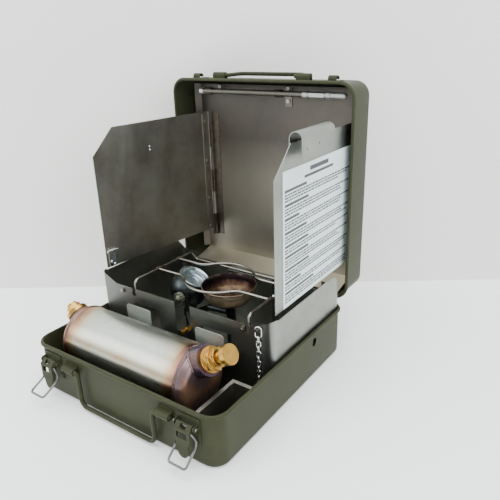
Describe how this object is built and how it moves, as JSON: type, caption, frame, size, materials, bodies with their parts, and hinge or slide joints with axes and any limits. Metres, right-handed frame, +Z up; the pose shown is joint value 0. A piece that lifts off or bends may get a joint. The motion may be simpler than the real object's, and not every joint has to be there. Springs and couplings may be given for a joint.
{
  "type": "camping stove",
  "caption": "Portable liquid-fuel camping stove in a hinged steel case: fuel tank with pump, burner with pot support, folding wind shields and carrying handles.",
  "frame": {"origin": "centre of the tray underside, on the surface the case stands on", "axes": "+X to the stove's right seen from the front, +Y to the hinge side at the back, +Z up"},
  "size_m": [0.32, 0.4126, 0.4045],
  "materials": {
    "olive_paint": "semi-gloss olive enamel, worn at edges",
    "stainless": "worn stainless sheet",
    "stained_stainless": "stainless sheet stained brown by heat and fuel",
    "bright_wire": "bright drawn wire and plated fasteners",
    "chromed_steel": "bright plated",
    "heat_tinted_steel": "heat tinted, straw to purple",
    "tank_steel": "bright rolled steel with tint beside the welds",
    "brass": "machined, slightly tarnished",
    "zinc_plate": "dull zinc plating",
    "placard_enamel": "white printed plate",
    "seal_rubber": "matt black"
  },
  "bodies": {
    "case": {"base_tray": "olive_paint", "spares_divider": "stained_stainless", "hinge_tray": "olive_paint", "hinge_pins": "bright_wire", "latch_plates": "olive_paint", "latch_pins": "bright_wire", "base_handle_brackets": "olive_paint", "housing_shell": "stainless", "housing_floor": "stainless", "tank_tongues": "stainless", "tank_saddles": "stainless", "grid_clamps": "bright_wire", "burner_bowl": "heat_tinted_steel", "flame_spreader": "heat_tinted_steel", "mixing_bulb": "zinc_plate", "bulb_dish": "zinc_plate", "valve_body": "brass", "fuel_union": "brass", "burner_bracket": "stainless", "tank_barrel": "tank_steel", "tank_ends": "heat_tinted_steel", "tank_necks": "heat_tinted_steel", "filler_seal": "seal_rubber", "pump_body": "brass", "pump_barrel": "brass"},
    "lid": {"lid_shell": "olive_paint", "hinge_lid": "olive_paint", "lid_liner": "stainless", "lid_keepers": "olive_paint", "lid_handle_brackets": "olive_paint", "fuel_pipe": "zinc_plate", "fuel_pipe_unions": "bright_wire", "fuel_pipe_clips": "stained_stainless", "fuel_pipe_screws": "bright_wire", "lid_leaf_left": "stained_stainless", "lid_leaf_right": "stainless", "shield_pins": "bright_wire"},
    "wind_shield_left": {"shield_left": "stained_stainless", "shield_leaf_left": "stained_stainless", "shield_catch_left": "chromed_steel", "shield_rivets_left": "stained_stainless"},
    "wind_shield_right": {"shield_right": "stainless", "shield_leaf_right": "stainless", "shield_catch_right": "chromed_steel", "shield_clip": "stainless", "placard": "placard_enamel", "shield_rivets_right": "stainless"},
    "lever_left": {"latch_lever_left": "olive_paint"},
    "lever_right": {"latch_lever_right": "olive_paint"},
    "bail_left": {"latch_bail_left": "bright_wire"},
    "bail_right": {"latch_bail_right": "bright_wire"},
    "tray_handle": {"base_handle": "olive_paint"},
    "top_handle": {"lid_handle": "olive_paint"},
    "pot_support": {"grid_rails": "bright_wire", "grid_wires": "bright_wire", "grid_collars": "stained_stainless"},
    "valve_wheel": {"valve_knob": "zinc_plate"},
    "plunger": {"pump_plunger": "brass"},
    "filler": {"filler_cap": "brass"},
    "retaining_chain": {"chain": "bright_wire"}
  },
  "joints": [
    {"name": "lid_hinge", "type": "hinge", "parent": "case", "child": "lid", "pos_m": [0, 0.1624, 0.074], "axis": [1, 0, 0], "range_deg": [-22, 0]},
    {"name": "wind_shield_left_hinge", "type": "hinge", "parent": "lid", "child": "wind_shield_left", "pos_m": [-0.1245, 0.207, 0.22], "axis": [0, 0, 1], "range_deg": [0, 96]},
    {"name": "wind_shield_right_hinge", "type": "hinge", "parent": "lid", "child": "wind_shield_right", "pos_m": [0.1465, 0.2, 0.22], "axis": [0, 0, 1], "range_deg": [-90, 0]},
    {"name": "lever_left_hinge", "type": "hinge", "parent": "case", "child": "lever_left", "pos_m": [-0.1225, -0.163, 0.055], "axis": [1, 0, 0], "range_deg": [-70, 0]},
    {"name": "lever_right_hinge", "type": "hinge", "parent": "case", "child": "lever_right", "pos_m": [0.117, -0.163, 0.055], "axis": [1, 0, 0], "range_deg": [-70, 0]},
    {"name": "bail_left_hinge", "type": "hinge", "parent": "lever_left", "child": "bail_left", "pos_m": [-0.1225, -0.1675, 0.0495], "axis": [1, 0, 0], "range_deg": [-66, 0]},
    {"name": "bail_right_hinge", "type": "hinge", "parent": "lever_right", "child": "bail_right", "pos_m": [0.117, -0.1675, 0.0495], "axis": [1, 0, 0], "range_deg": [-80, 0]},
    {"name": "tray_handle_hinge", "type": "hinge", "parent": "case", "child": "tray_handle", "pos_m": [0, -0.1636, 0.055], "axis": [1, 0, 0], "range_deg": [-160, 0]},
    {"name": "top_handle_hinge", "type": "hinge", "parent": "lid", "child": "top_handle", "pos_m": [0, 0.1794, 0.4], "axis": [1, 0, 0], "range_deg": [0, 140]},
    {"name": "pot_support_hinge", "type": "hinge", "parent": "case", "child": "pot_support", "pos_m": [0, -0.0295, 0.111], "axis": [1, 0, 0], "range_deg": [0, 55]},
    {"name": "valve_wheel_turn", "type": "hinge", "parent": "case", "child": "valve_wheel", "pos_m": [-0.017, -0.015, 0.113], "axis": [0, 1, 0], "range_deg": [0, 340]},
    {"name": "plunger_slide", "type": "slide", "parent": "case", "child": "plunger", "axis": [0.866, 0, 0.5], "range_m": [0, 0.035]},
    {"name": "filler_cap_turn", "type": "hinge", "parent": "case", "child": "filler", "pos_m": [-0.122, -0.1, 0.088], "axis": [-0.788, 0, 0.6157], "range_deg": [0, 270]},
    {"name": "retaining_chain_swing", "type": "hinge", "parent": "case", "child": "retaining_chain", "pos_m": [0.1335, -0.0385, 0.1206], "axis": [0, 1, 0], "range_deg": [-12, 12]}
  ]
}
